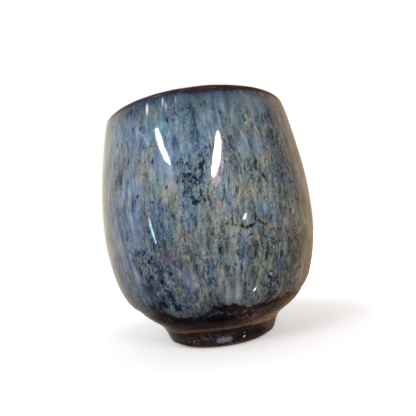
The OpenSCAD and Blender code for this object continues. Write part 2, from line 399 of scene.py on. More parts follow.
# Where it is lighter, or darker where the strength is below 0. They are partly the glaze's own tone and
# partly painted light: painted reflection near the left side and painted shade on the right.
signed_marks["light"] = [
    (15, 35, 6, 8, 0.12), (15, 25, 6, 4, 0.06), (0, 48, 6, 5, 0.13), (-15, 48, 5, 6, 0.09),
    (-30, 44, 6, 5, 0.09), (30, 53, 5, 5, 0.09), (-45, 38, 5, 8, -0.06), (0, 56, 5, 3, -0.06),
    (15, 57, 6, 4, -0.07), (12, 61.5, 12, 1.5, -0.12), (45, 59, 6, 5, -0.08), (0, 33, 5, 4, -0.04),
    (15, 15, 6, 3, 0.03), (52, 20, 4, 8, 0.06), (-14, 15, 3, 3, 0.05), (58, 36, 5, 26, -0.04),
    (-60, 30, 5, 14, -0.05), (-46, 54, 5, 6, 0.06), (-16, 35, 4, 4, 0.05), (0, 32, 6, 5, -0.05),
    (15, 49, 6, 6, -0.04), (31, 40, 4, 10, -0.03), (45, 50, 5, 7, -0.09), (46, 32, 5, 6, -0.09),
    (15, 60, 6, 2, -0.05), (45, 24, 5, 4, -0.03), (30, 25, 4, 4, -0.03), (-30, 40, 5, 5, 0.05),
    (15, 41, 4, 4, 0.05), (1, 46.5, 4, 4, 0.04), (-30, 23, 5, 5, 0.05), (-50, 40, 4, 8, 0.1),
    (-46, 57, 4, 4, 0.08), (-55, 22, 3, 4, 0.04), (54, 54, 4, 8, -0.1), (54, 22, 4, 5, -0.08),
    (42, 22, 4, 4, -0.06), (42, 36, 3, 4, -0.06), (28, 56, 4, 5, 0.04), (-2, 55, 1.6, 4, -0.13),
    (-50, 28, 3.5, 6, 0.07), (-15, 12.6, 3, 1.5, 0.1),
]
# Marks in the dark glaze
dark_marks = {}
# Smears of blue near the blue glaze's edge, and pale blue-grey patches low on the front of the foot
dark_marks["smear"] = [
    (5.5, 9.7, 0.9, 0.6, 0.6), (0, 10.4, 4, 0.8, 0.35), (15, 9.6, 1.6, 0.7, 0.45), (-9, 9.6, 2, 0.7, 0.35),
    (-4, 2.3, 1.5, 0.9, 1), (-0.5, 2.35, 1.6, 0.95, 1), (3, 2.4, 1.6, 0.95, 1), (6.5, 2.3, 1.2, 0.85, 0.85),
    (-12, 3.6, 1, 0.6, 0.4), (-19, 3.4, 1.6, 0.6, 0.3),
]
# Where it pools black
dark_marks["black"] = [
    (1, 8.6, 5, 1, 1), (-9, 8.8, 3, 1, 0.8), (-28, 9, 5, 1.1, 0.8), (-41, 8.4, 4, 0.9, 0.5),
    (24, 10.7, 3, 0.8, 0.7), (28, 10.7, 4, 0.9, 0.8), (36, 10.7, 3, 1, 0.9), (44, 10.8, 3, 0.9, 0.5),
    (30, 3, 6, 1.3, 0.7), (0, 4.4, 5, 0.5, 0.5),
]
# Where it breaks brown
dark_marks["brown"] = [
    (25, 7.7, 3.5, 1.2, 0.6), (32, 8.2, 4, 1.4, 0.5), (42, 8.4, 5, 1.6, 0.6), (54, 9.5, 6, 3, 0.8),
    (14, 7.4, 3.5, 0.9, 0.7), (48, 4.6, 6, 1.6, 0.5),
]
# Where it is speckled with mauve
dark_marks["mauve"] = [
    (16, 9.2, 3.4, 1.4, 1.1), (25, 9, 3, 1.2, 0.8), (34, 9, 4, 1, 0.5), (-24, 10.4, 3, 0.7, 0.7),
    (-16, 3, 5, 1.2, 0.7), (-32, 2.5, 7, 0.8, 1.2), (12, 4, 2, 0.6, 0.5), (-34, 9.8, 4, 0.8, 0.5),
]
# A break in the blue: azimuth in degrees, and how bold it is or its height in millimetres there
break_bold = [
    (11, 0.1), (13, 0.3), (16, 0.7), (18, 1), (23, 1), (25, 0.4), (27, 0.15), (29, 0), (31, 0.3), (33, 0),
]
break_line = [
    (11, 29.9), (12.5, 29.8), (14.5, 29.2), (17, 29.2), (19, 29.4), (21, 30), (22.5, 30.2), (24.5, 29.5),
    (27, 28.6), (29, 27.9), (31, 28.3), (33, 27.8),
]


def dip_height(az):
    level = np.interp(np.degrees(az), *np.transpose(dip_points))
    ragged = 0.35 * ripple(az, 0 * az, 1.6 * mm, 1.0, 3) + 0.2 * ripple(az, 0 * az, 0.7 * mm, 1.0, 4)
    return (level + ragged) * mm


def marked(az, z, marks):
    """How strongly the marks cover points of the cup's side, where the strongest one counts."""
    total = np.zeros(np.broadcast(az, z).shape)
    for turn, level, half_width, half_height, strength in marks:
        across = (az - math.radians(turn)) * belly_r / (half_width * mm)
        along = (z - level * mm) / (half_height * mm)
        total = np.maximum(total, strength * np.exp(-(across**2) - along**2))
    return total


def summed(az, z, marks):
    """The marks' strengths added up, some of which may be below 0."""
    return sum(mark[4] * marked(az, z, [mark[:4] + (1,)]) for mark in marks)


def keep_values(piece, name, values):
    """Stores one number for each point of a piece, which its paint reads by that name."""
    kept = piece.data.attributes.new(name, "FLOAT", "POINT")
    kept.data.foreach_set("value", np.ascontiguousarray(values, np.float32).ravel())


def fuller(az, z):
    """Extra depth low on the right."""
    across = (az - full_turn) / full_half_turn
    along = (z - full_z) / full_half_h
    return full_t * np.exp(-(across**2) - along**2)


def streaked_coat():
    az = around(fine_turns)
    turn = az[:, None]
    degrees = np.degrees(turn)
    start = dark_face.reach(dip_height(az))[:, None]
    end = dark_face.length
    edge_rows = roll_rows * roll_reach
    low_row = edge_rows[-1]
    share = np.linspace(0, 1, streak_rows)[1:]
    s = np.concatenate([start + edge_rows, start + low_row + (end - start - low_row) * share], 1)
    above = s - start
    place = dark_face.place(s)
    normal = dark_face.normal(s)
    place = place + normal * fuller(turn, place[..., 1])[..., None]
    z = place[..., 1]

    # The coat thins towards the lip, and its rolled lower edge thins out at the left
    to_lip = np.clip((dark_face.points[-1, 1] - z) / thin_reach, 0, 1)
    depth = thin_t + (streak_t - thin_t) * to_lip * (2 - to_lip)
    depth = depth * (end_share + (1 - end_share) * rising(s, end, end - end_reach))
    lift = np.clip(above / roll_reach, 0, 1)
    grown = rising(above, 0, grown_reach)
    rolled = np.sqrt(1 - (1 - lift) ** 2) * (roll_share + (1 - roll_share) * grown)
    left_end = rising(degrees, -22, -36) * rising(degrees, -110, -90)
    rolled = rolled * (1 - left_end * rising(above, left_reach, 0))
    swell = 1 + swell_share * np.exp(-(((z - swell_z) / swell_reach) ** 2)) * grown
    runs = 1 - run_share * (1 + ripple(turn, z, 2.2 * mm, 9 * mm, 1)) / 2
    tucked = tuck * (lift < 0.01)
    face = place + normal * (depth * rolled * swell * runs - tucked)[..., None]
    back_s = start + back_inset + (end - start - back_inset) * np.linspace(1, 0, streak_back_rows)
    back = dark_face.place(back_s)
    back = back + dark_face.normal(back_s) * (fuller(turn, back[..., 1]) - coat_overlap)[..., None]
    loop = np.concatenate([face, back], 1)
    height = loop[..., 1]
    piece = turned("streaked_coat", loop[..., 0], height, az)

    hidden = rising(np.abs(degrees), 48, 68)

    def strewn(width, tall, seed):
        """Marks of the sides and the back, which follow no list."""
        return hidden * np.clip(1.8 * ripple(turn, height, width * mm, tall * mm, seed), 0, 1)

    values = {name: marked(turn, height, marks) for name, marks in blue_marks.items()}
    for name, marks in signed_marks.items():
        values[name] = summed(turn, height, marks)
    calm_top = 0.52 * rising(height, 44 * mm, 52 * mm)
    values["calm"] = np.maximum(np.maximum(values["calm"], strewn(9, 14, 21)), calm_top)
    values["dark"] = np.maximum(values["dark"], strewn(5, 8, 22))
    values["violet"] = np.maximum(values["violet"], strewn(7, 8, 24))
    values["warm"] = values["warm"] + strewn(8, 9, 23)
    values["edge"] = np.concatenate([above, back_s - start], 1) / mm
    values["break"] = height / mm - np.interp(degrees, *np.transpose(break_line))
    values["past"] = np.maximum(np.maximum(break_line[0][0] - degrees, degrees - break_line[-1][0]), 0)
    values["bold"] = np.interp(degrees, *np.transpose(break_bold))
    for name, shown in values.items():
        keep_values(piece, name, np.broadcast_to(shown, height.shape))
    return piece


def dark_coat():
    az = around(fine_turns // 2)
    turn = az[:, None]
    wall_end = np.linalg.norm(pool_line[0] - wall_foot)
    low = np.linspace(0, dark_face.reach(dark_low_z), dark_low_rows)
    low = np.union1d(low, wall_end + np.array([-0.06, -0.02, 0.02, 0.06]) * mm)
    s = np.concatenate([low, np.linspace(low[-1], dark_face.length, dark_high_rows)[1:]])
    place = dark_face.place(s)
    z = place[:, 1]
    edge = np.clip(s / edge_reach, 0, 1)
    sink = base_t * (1 - np.sqrt(1 - (1 - edge) ** 2))
    sink = sink - wall_bulge * np.sin(math.pi * np.clip(s / wall_end, 0, 1))
    wave = wave_h * (ripple(turn, z, 3 * mm, 3 * mm, 7) - 1)
    wave = wave * rising(edge, 0, 1) * rising(z, 9 * mm, 6 * mm)
    face = place + dark_face.normal(s) * (fuller(turn, z) + wave - sink)[..., None]
    back_line = Outline(joined(np.array([wall_low, wall_top]), bowl_side))
    back = back_line.place(np.linspace(back_line.length, 0, dark_back_rows))
    loop = np.concatenate([face, np.broadcast_to(back, (len(az),) + back.shape)], 1)
    piece = turned("dark_coat", loop[..., 0], loop[..., 1], az)
    for name, marks in dark_marks.items():
        keep_values(piece, name, marked(turn, loop[..., 1], marks))
    return piece


def lip_coat():
    az = around(plain_turns)
    line = Outline(lip_line)
    s = np.linspace(0, line.length, lip_rows)
    end = np.clip(np.minimum(s, line.length - s) / edge_reach, 0, 1)
    depth = band_t * (lip_end_share + (1 - lip_end_share) * end)
    face = line.place(s) + line.normal(s) * depth[:, None]
    loop = np.concatenate([face, line.place(s[::-1][::3])])
    wear = lip_wear * (1 + ripple(az, 0 * az, 5 * mm, 1.0, 5))
    height = np.minimum(loop[:, 1] - wear[:, None], cup_h + band_t)
    return turned("lip_coat", loop[:, 0], height, az)


def liner_coat():
    az = around(plain_turns)
    line = Outline(inside)
    s = np.linspace(0, line.length, liner_rows)
    place = line.place(s)
    rings = throwing_h * np.sin(s / throwing_step * 2 * math.pi)
    rings = rings * rising(s, line.length, line.length - 6 * mm) * rising(s, 0, 8 * mm)
    uneven = uneven_h * rising(place[:, 0], 0, 16 * mm)
    depth = liner_t + rings + uneven * ripple(az[:, None], place[:, 1], 9 * mm, 9 * mm, 9)
    depth[:, -1] = liner_t
    face = place + line.normal(s) * depth[..., None]
    face[..., 0] = np.maximum(face[..., 0], 0)
    back = np.broadcast_to(line.place(s[::-1][::3]), (len(az), len(s[::3]), 2))
    loop = np.concatenate([face[:, ::-1], back[:, ::-1]], 1)
    return turned("liner_coat", loop[..., 0], loop[..., 1], az, poles=True)


def well_coat():
    az = around(plain_turns)
    wall_r = well_r - well_t
    ceiling = seat_z - well_t
    brim_z = 1.3 * mm
    corner = np.array([wall_r, ceiling])
    pool_end = corner - np.array([well_pool_reach, 0])
    bend = rounding(corner - well_pool_reach * up, corner, pool_end, well_rows)
    brim = rounding(*np.array([[well_r, well_edge_z], [wall_r, well_edge_z], [wall_r, brim_z]]), 8)
    flat = np.stack([np.linspace(bend[-1, 0], 0, well_rows), np.full(well_rows, ceiling)], -1)
    flat[:, 1] -= well_sink * rising(flat[:, 0], 5 * mm, 0)
    back = np.array([[0, seat_z], [well_r * 0.5, seat_z], [well_r, seat_z], [well_r, 3 * mm]])
    loop = joined(back, brim, bend, flat)
    return turned("well_coat", loop[:, 0], loop[:, 1], az, poles=True)


def foot():
    az = around(plain_turns)
    stand_in = np.array([well_r, 0])
    stand_out = np.array([stand_r, 0])
    bevel = unit(wall_low - stand_out)
    stand = np.linspace(well_r + foot_soft, stand_r - foot_soft, stand_rows)
    face = np.stack([stand, np.zeros(stand_rows)], -1)
    outline = np.vstack([
        rounding(stand_in + foot_soft * up, stand_in, face[0], small_steps),
        face[1:-1],
        rounding(face[-1], stand_out, stand_out + foot_soft * bevel, small_steps),
        rounding(wall_low - foot_soft * bevel, wall_low, wall_low + foot_soft * wall_up, small_steps),
        np.array([wall_top, [well_r, ring_h]]),
    ])
    radius, height = outline.T
    grit = grit_h * np.clip(ripple(az[:, None], radius, 0.8 * mm, 0.8 * mm, 11) + 0.2, 0, 1)
    bare = rising(height, 0.9 * mm, 0.3 * mm)
    return turned("foot", radius, height + grit * bare, az)


def linear(value):
    v = value / 255
    return v / 12.92 if v <= 0.04045 else ((v + 0.055) / 1.055) ** 2.4


def colour(r, g, b):
    """A colour written in display values from 0 to 255."""
    return (linear(r), linear(g), linear(b), 1.0)


def light(r, g, b):
    """A colour written as shares of red, green and blue light."""
    return (r, g, b, 1.0)


# Spread of one plain layer of noise round its middle
plain_spread = 0.13


class Value:
    """What a node gives. Sums, products and the like of values are nodes too."""

    def __init__(self, nodes, socket):
        self.nodes = nodes
        self.socket = socket

    def __add__(self, other):
        return self.nodes.math("ADD", self, other)

    def __sub__(self, other):
        return self.nodes.math("SUBTRACT", self, other)

    def __rsub__(self, other):
        return self.nodes.math("SUBTRACT", other, self)

    def __mul__(self, other):
        return self.nodes.math("MULTIPLY", self, other)

    def __truediv__(self, other):
        return self.nodes.math("DIVIDE", self, other)

    def __abs__(self):
        return self.nodes.math("ABSOLUTE", self)

    def rising(self, low, high):
        """What the function of that name gives, as a node."""
        node = self.nodes.new("MapRange", {
            "Value": self,
            "From Min": min(low, high),
            "From Max": max(low, high),
            "To Min": 0.0 if low < high else 1.0,
            "To Max": 1.0 if low < high else 0.0,
        })
        node.interpolation_type = "SMOOTHSTEP"
        return Value(self.nodes, node.outputs["Result"])

    def right_from(self, low, high):
        """An azimuth's rise round the cup's front, which falls back to 0 before it wraps behind the cup."""
        return self.rising(low, high) * self.rising(176, 110)


class Nodes:
    """A short way to write a node tree."""

    def __init__(self, tree):
        self.tree = tree

    def set(self, socket, value):
        if isinstance(value, Value):
            self.tree.links.new(value.socket, socket)
        else:
            socket.default_value = value

    def fill(self, node, inputs):
        for key, value in dict(inputs).items():
            self.set(node.inputs[key], value)

    def new(self, kind, inputs=(), operation=None):
        node = self.tree.nodes.new("ShaderNode" + kind)
        if operation:
            node.operation = operation
        self.fill(node, inputs)
        return node

    def math(self, operation, a, b=0.0):
        return Value(self, self.new("Math", {0: a, 1: b}, operation).outputs[0])


class Paint(Nodes):
    """A material's nodes. point is the place in millimetres, side is the same moved to one distance from the
    axis, degrees is the azimuth, and shade is the colour that is painted so far."""

    def __init__(self, name):
        self.material = bpy.data.materials.new(name)
        self.material.use_nodes = True
        super().__init__(self.material.node_tree)
        self.shader = self.tree.nodes["Principled BSDF"]
        coords = Value(self, self.new("TexCoord").outputs["Object"])
        self.point = self.vector("SCALE", coords, 1 / mm)
        split = self.new("SeparateXYZ", {0: self.point})
        x, y, self.z = [Value(self, part) for part in split.outputs]
        self.reach = self.math("SQRT", x * x + y * y + 0.001)
        one_r = belly_r / mm
        sides = {0: x / self.reach * one_r, 1: y / self.reach * one_r, 2: self.z}
        self.side = Value(self, self.new("CombineXYZ", sides).outputs[0])
        self.degrees = self.math("ARCTAN2", x, y * -1.0) * (180 / math.pi)

    def kept(self, name):
        """What keep_values stored on the piece."""
        node = self.new("Attribute")
        node.attribute_name = name
        return Value(self, node.outputs["Fac"])

    def vector(self, operation, a, b):
        second = "Scale" if operation == "SCALE" else 1
        return Value(self, self.new("VectorMath", {0: a, second: b}, operation).outputs[0])

    def cloud(self, place, across, tall, shift=0.0, detail=3, rough=0.55, bend=0.0):
        """Noise round 0, mostly from -1 to 1, with lumps of about that width and height in millimetres."""
        scaled = self.vector("MULTIPLY", place, (1 / across, 1 / across, 1 / tall))
        moved = self.vector("ADD", scaled, (shift, shift * 1.7, shift * 2.3))
        form = {"Vector": moved, "Scale": 1.0, "Detail": detail, "Roughness": rough, "Distortion": bend}
        node = self.new("TexNoise", form)
        shares = [rough**octave for octave in range(detail + 1)]
        spread = plain_spread * math.sqrt(sum(share**2 for share in shares)) / sum(shares)
        return (Value(self, node.outputs["Fac"]) - 0.5) * (0.5 / spread)

    def ramp(self, value, rows, written=colour):
        """A colour that follows a value. Rows give a place from 0 to 1 and a colour written that way."""
        node = self.new("ValToRGB", {"Fac": value})
        stops = node.color_ramp.elements
        while len(stops) < len(rows):
            stops.new(0.5)
        for stop, row in zip(stops, rows):
            stop.position = row[0]
        for stop, row in zip(stops, rows):
            stop.color = written(*row[1:])
        return Value(self, node.outputs["Color"])

    def blend(self, share, a, b, way="MIX"):
        node = self.new("Mix")
        node.data_type = "RGBA"
        node.blend_type = way
        self.fill(node, {"Factor": share, 6: a, 7: b})
        return Value(self, node.outputs[2])

    def lay(self, share, shade, way="MIX"):
        """Lays a value, or a colour in display values, over what is painted so far."""
        over = shade if isinstance(shade, Value) else colour(*shade)
        self.shade = self.blend(share, self.shade, over, way)

    def bump(self, height, depth, strength):
        node = self.new("Bump", {"Height": height, "Distance": depth, "Strength": strength})
        self.set(self.shader.inputs["Normal"], Value(self, node.outputs["Normal"]))

    def finish(self, roughness, specular=0.5):
        gloss = {"Base Color": self.shade, "Roughness": roughness, "Specular IOR Level": specular}
        self.fill(self.shader, gloss)
        return self.material


def streaked_paint():
    p = Paint("streaked_glaze")
    point = p.point
    side = p.side
    degrees = p.degrees
    z = p.z
    dark = p.kept("dark")
    soot = p.kept("soot")
    even = p.kept("even")
    # low_down grows towards the bottom, where it darkens the tone as painted shade under the belly
    low_down = z.rising(34, 20)
    top_up = z.rising(42, 52)

    # Runs are long above the belly and shorter below it
    shorter = p.math("MINIMUM", z - 30, 0.0) * 0.25
    lower = Value(p, p.new("CombineXYZ", {"Z": shorter}).outputs[0])
    drawn = p.vector("ADD", side, lower)
    sway = p.cloud(drawn, 4, 7, 4.4, 2)
    swayed = p.vector("ADD", drawn, p.vector("SCALE", (0.3, 0.3, 0.9), sway))
    patch = p.cloud(side, 6, 10, 8.4)
    wide_hue = p.cloud(side, 4.5, 8, 2.9)
    near_hue = p.cloud(swayed, 1.4, 3.2, 6.2)
    fine_hue = p.cloud(swayed, 0.6, 1, 5.9, 2)
    mauve = p.cloud(side, 3, 5.5, 6.2)
    column = p.cloud(swayed, 1.7, 8, 0.7)
    streak = p.cloud(swayed, 0.8, 3.4, 1.7)
    fine = p.cloud(swayed, 0.5, 0.75, 9.6, 2, 0.6)
    long_streak = p.cloud(swayed, 1.2, 6, 5.2, 3, 0.5)
    blot = p.cloud(swayed, 1.3, 2.3, 7.3, 5, 0.65, 0.3)
    crumb = p.cloud(swayed, 0.6, 0.9, 2.4, 3, 0.6, 0.3)
    stroke = p.cloud(swayed, 0.7, 3, 3.8, 3, 0.6)
    speck = p.cloud(point, 0.4, 0.6, 3.3, 2)
    pale = p.cloud(swayed, 0.6, 1.7, 6.6)
    bent = p.cloud(swayed, 1.5, 2.4, 8.8, 4, 0.6, 0.4)
    wander = p.cloud(point, 1.3, 1.1, 4.7)
    grain = p.cloud(point, 0.5, 0.45, 2.7, 2)

    # Tone and hue of the blue, which is milky where it is calm
    calm = (p.kept("calm") + patch * 0.25).rising(0.3, 0.75)
    stirred = 1.0 - calm
    rough_tone = streak * 0.125 + fine * 0.11
    calm_tone = long_streak * 0.16 + streak * 0.075 + fine * 0.05 + 0.03
    # The light marks in broad_tone are partly painted reflection near the left side and painted shade on the
    # right
    broad_tone = column * 0.09 + patch * 0.09 - dark * 0.11 - low_down * 0.065 + p.kept("light") + 0.46
    # even is painted reflection at the left and right sides: it flattens the runs there
    tone = (rough_tone * stirred + calm_tone * calm) * (1.0 - even * 0.42) + broad_tone
    p.shade = p.ramp(tone, [
        (0.1, 38, 47, 55), (0.34, 91, 103, 109), (0.5, 122, 132, 135), (0.66, 148, 155, 154),
        (0.88, 186, 186, 178),
    ])
    warmth = wide_hue * 0.36 + near_hue * (stirred * 0.2 + 0.14) + fine_hue * 0.035 + p.kept("warm") * 0.36
    warmth = warmth - calm * 0.17 - top_up * 0.08 - dark * 0.2 + low_down * 0.08 + 0.425
    blue_to_cream = [(0, 0.5, 0.71, 1), (0.5, 0.79, 0.84, 0.86), (1, 1, 0.91, 0.72)]
    p.lay(1.0, p.ramp(warmth, blue_to_cream, light), "MULTIPLY")
    violet = mauve * 0.3 + p.kept("violet") * 0.5 - top_up * 0.12 + low_down * 0.12 + 0.42
    green_to_mauve = [(0, 0.88, 1, 0.92), (0.5, 0.96, 0.94, 0.95), (1, 1, 0.85, 0.96)]
    p.lay(1.0, p.ramp(violet, green_to_mauve, light), "MULTIPLY")

    # Flecks and strokes in it, and the dark glaze that breaks through
    rosy_mark = p.kept("rosy")
    rosy = rosy_mark * (streak + fine + rosy_mark * 0.6).rising(-0.4, 1.2)
    p.lay(rosy * 0.75, (118, 66, 78))
    p.lay(speck.rising(0.6, 1.1) * stirred * 0.4, (80, 70, 56))
    p.lay(pale.rising(0.5, 1.2) * (stirred * 0.25 + 0.12), (160, 154, 138))
    strokes = stroke + low_down * 0.2 - calm * 0.6 + dark * 0.25 - even * 0.25
    p.lay(strokes.rising(0.62, 1.05) * 0.86, (38, 50, 60))
    cream = (fine_hue * 0.5 - crumb).rising(0.5, 1.2) * dark.rising(0.2, 0.5)
    p.lay(cream * 0.5, (146, 142, 114))
    depth = blot * 0.8 + crumb * (dark * 0.7 + 0.2) + dark - calm * 0.5 - even * 0.2
    p.lay(depth.rising(0.3, 1) * 0.68, (40, 64, 86))
    p.lay(depth.rising(0.9, 1.3), (16, 30, 49))
    # Painted tan reflection at the left and right sides
    p.lay(p.kept("tan") * 0.5, (112, 94, 74))

    # Thin dark veins run through the stirred glaze
    vein = abs(bent).rising(0.16, 0.03) * (blot - calm).rising(-0.1, 0.6)
    p.lay(vein * (dark.rising(0.2, 0.8) * 0.35 + 0.55), (33, 38, 42))

    # The break is a row of dark cracks with ochre along its upper side
    off = p.kept("break") + wander * 0.32 + grain * 0.14
    past = p.kept("past")
    rust = (abs(off - 0.45) + past).rising(1.4, 0.2) * (grain + wander).rising(0.1, 0.9)
    p.lay(rust * 0.75, (148, 130, 86))
    crack_width = near_hue * 0.2 + grain * 0.2 + p.kept("bold") * 0.24 - 0.02
    crack = (abs(off) + past - crack_width).rising(0.2, -0.05)
    p.lay(crack * 0.96, (20, 17, 18))

    # Painted highlights hang below the lip as pale runs, and the lip ends in a dark line
    p.lay((z + streak + column * 2).rising(56.5, 61.5) * 0.62, (52, 72, 88))
    p.lay((z + streak * 0.5 + column * 0.7).rising(60.6, 62.7) * 0.8, (40, 43, 66))
    p.lay(p.kept("pale").rising(0.2, 0.75), (206, 201, 210))
    lip_z = z + streak * 0.4 + dark * 0.3 + degrees.right_from(-28, 6) - degrees.right_from(14, 34) * 0.6
    p.lay(lip_z.rising(62.3, 63.4), (42, 28, 34))

    # A black mist lies over the lower left
    soot_shade = p.blend((z + wander * 0.6).rising(13.6, 12), colour(40, 52, 72), colour(56, 52, 60))
    p.lay(soot.rising(0.1, 0.7) * 0.7, soot_shade)
    mist = soot * 1.05 + blot * 0.6 + grain * 0.3
    p.lay(mist.rising(0.6, 1.05) * 0.97, (19, 18, 23))

    # The lower edge thins out over the dark glaze, with an ochre rim
    hem = p.kept("edge") + wander * 0.8 + grain * 0.35 - dark * 0.8 - soot * 1.5
    p.lay(hem.rising(4, 0.8) * 0.4, (58, 62, 68))
    ochre = (degrees.right_from(-24, -8) * 0.65 + 0.1) * soot.rising(0.5, 0.1)
    p.lay(hem.rising(1.5, 0.9) * ochre * (grain + wander).rising(-0.5, 0.6), (104, 90, 64))
    p.lay(hem.rising(1, 0.4), (20, 18, 21))
    p.bump(streak, 0.003 * mm, 0.3)
    return p.finish(fine * 0.008 + 0.04)


def dark_ground(p):
    """What the dark glazes of the outside and of the hollow under the foot share."""
    cloud = p.cloud(p.point, 2.4, 1.4, 2.2)
    fine = p.cloud(p.point, 0.8, 0.7, 5.5)
    speck = p.cloud(p.point, 0.6, 0.5, 6.1, 2).rising(1, 1.5)
    browns = [(0.2, 17, 14, 17), (0.5, 36, 28, 29), (0.75, 64, 50, 49), (0.9, 90, 74, 74)]
    p.shade = p.ramp(cloud * 0.13 + fine * 0.06 + 0.5, browns)
    p.bump(cloud, 0.004 * mm, 0.12)
    return cloud, fine, speck


def well_paint():
    p = Paint("well_glaze")
    fine, speck = dark_ground(p)[1:]
    p.lay(speck * 0.5, (96, 82, 84))
    p.lay(p.reach.rising(5, 8.6) * p.z.rising(2.4, 4.4) * 0.8, (9, 8, 11))
    p.lay((p.z + fine * 0.2).rising(1.9, 1.2) * 0.6, (66, 42, 37))
    return p.finish(fine * 0.01 + 0.06, 0.25)


def dark_paint():
    p = Paint("dark_glaze")
    degrees = p.degrees
    z = p.z
    cloud, fine, speck = dark_ground(p)
    blues = [(0.2, 5, 5, 8), (0.5, 14, 14, 19), (0.75, 40, 42, 54), (0.9, 72, 76, 92)]
    pooled = z.rising(7.4, 8.6) * degrees.rising(15, 4) * degrees.rising(-70, -40)
    p.lay(pooled * 0.9, p.ramp(cloud * 0.17 + fine * 0.1 + 0.5, blues))
    p.lay(speck * 0.5, (96, 82, 84))

    # The crest of the crease above the foot breaks to brown, and painted warm reflection makes it brighter
    # and wider at the sides, most on the right
    sideways = abs(degrees).rising(15, 45)
    on_right = degrees.right_from(12, 46)
    on_left = (degrees * -1.0).right_from(34, 56)
    crest_h = on_right * 1.5 + sideways * 0.3 + on_left * 0.5 + 1.1
    over_crest = (z + cloud * 0.2 - 5.3) / crest_h
    crest = (z + sideways * 0.5).rising(4.9, 5.4) * over_crest.rising(1, 0)
    worn_and_sheen = (cloud + fine * 0.5).rising(-0.9, 0.5) * 0.45 + 0.55
    crest_and_sheen_colour = p.blend(on_right, colour(118, 92, 74), colour(152, 112, 84))
    p.lay(crest * worn_and_sheen * (on_right * 0.4 + on_left * 0.4 + 0.6), crest_and_sheen_colour)

    p.lay(p.kept("brown") * (cloud + fine * 0.5).rising(-0.6, 0.6), (112, 86, 76))
    p.lay((z + fine * 0.2).rising(1.9, 1.2) * 0.6, (66, 42, 37))
    p.lay(p.kept("black"), (6, 5, 8))
    smear = p.kept("smear")
    p.lay(smear * (fine * 0.4 + smear * 1.6).rising(0.2, 1.2) * 0.9, (112, 118, 130))
    spots = (p.cloud(p.point, 1.1, 0.9, 4.1) + fine * 0.4).rising(0, 1.1)
    p.lay(p.kept("mauve") * spots * 0.7, (100, 88, 94))
    return p.finish(fine * 0.01 + 0.06, 0.25)


def lip_paint():
    p = Paint("lip_glaze")
    cloud = p.cloud(p.point, 1.6, 1.6, 4.4, 4)
    p.shade = p.ramp(cloud * 0.25 + 0.5, [(0.2, 32, 21, 25), (0.55, 46, 30, 32), (0.8, 74, 50, 44)])
    left_side = 0.85 - p.degrees.right_from(-22, 0) * 0.85
    low_edge = (p.z + cloud * 0.2 - p.reach * 0.3).rising(55.85, 55.2)
    p.lay(low_edge * left_side, (46, 46, 64))
    p.bump(cloud, 0.004 * mm, 0.3)
    return p.finish(cloud * 0.04 + 0.2, 0.25)


def liner_paint():
    p = Paint("liner_glaze")
    fleck = p.cloud(p.point, 0.7, 1.3, 2.6, 4, 0.65, 0.2)
    streak = p.cloud(p.side, 0.9, 5, 3.7, 4, 0.6, 0.2) * p.reach.rising(8, 20)
    slates = [(0.15, 40, 56, 74), (0.4, 90, 110, 126), (0.58, 122, 138, 150), (0.85, 160, 158, 140)]
    p.shade = p.ramp(streak * 0.18 + fleck * 0.14 + 0.5, slates)
    p.lay((p.z + fleck).rising(17, 10.5) * 0.75, (34, 50, 68))
    p.lay((p.z + streak * 0.7).rising(59.5, 62.4), (58, 38, 34))
    p.bump(streak, 0.004 * mm, 0.3)
    return p.finish(fleck * 0.015 + 0.06)


def clay_paint(name, dark, mid, pale):
    p = Paint(name)
    cloud = p.cloud(p.point, 3, 3, 1.3, 4)
    grit = p.cloud(p.point, 0.35, 0.35, 7.7, 3, 0.6)
    p.shade = p.ramp(cloud * 0.18 + grit * 0.16 + 0.5, [(0.2, *dark), (0.5, *mid), (0.8, *pale)])
    p.bump(grit, 0.03 * mm, 0.6)
    return p.finish(grit * 0.06 + 0.75, 0.3)


bare_clay = clay_paint("foot_clay", (70, 46, 38), (112, 80, 64), (146, 112, 92))
finishes = [
    (streaked_coat(), streaked_paint(), "streaked_glaze", "streaked_glaze"),
    (dark_coat(), dark_paint(), "dark_glaze", "base_glaze"),
    (lip_coat(), lip_paint(), "lip_glaze", "lip_band"),
    (liner_coat(), liner_paint(), "liner_glaze", "liner_glaze"),
    (well_coat(), well_paint(), "well_glaze", "foot_well_glaze"),
    (foot(), bare_clay, "foot_clay", "foot_ring"),
]
for piece, material, slot, node in finishes:
    piece.data.materials.append(material)
    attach(piece, "root")
    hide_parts(node)

bowl_clay = clay_paint("bowl_clay", (150, 126, 104), (178, 156, 132), (198, 178, 154))
slip_clay = clay_paint("slip", (112, 88, 74), (136, 110, 92), (156, 130, 110))
for node, material in (("clay_bowl", bowl_clay), ("joining_slip", slip_clay)):
    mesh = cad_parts[node].data
    mesh.materials.clear()
    mesh.materials.append(material)


def posed(place, right, top, back):
    """The matrix of a camera or lamp at a place that looks away from back."""
    return Matrix.Translation(place) @ Matrix((right, top, back)).transposed().to_4x4()


# Camera
photo_px = 416
focal_px = 377.763
eye = Vector((0, -112.136, 26.726)) * mm
yaw = 0.00432
pitch = 0.09166
roll = -0.13207
ahead = Vector((math.sin(yaw) * math.cos(pitch), math.cos(yaw) * math.cos(pitch), math.sin(pitch)))
level = Vector((math.cos(yaw), -math.sin(yaw), 0))
over = level.cross(ahead)
right = math.cos(roll) * level + math.sin(roll) * over
top = math.cos(roll) * over - math.sin(roll) * level
lens = bpy.data.cameras.new("camera")
lens.sensor_width = 36
lens.lens = focal_px / photo_px * lens.sensor_width
lens.clip_start = 0.002
camera = placed("camera", lens)
camera.matrix_world = posed(eye, right, top, -ahead)
scene.camera = camera


def toward(az, el):
    """Direction at an azimuth from -y towards +x and an elevation, in degrees."""
    a = math.radians(az)
    e = math.radians(el)
    return Vector((math.sin(a) * math.cos(e), -math.cos(a) * math.cos(e), math.sin(e)))


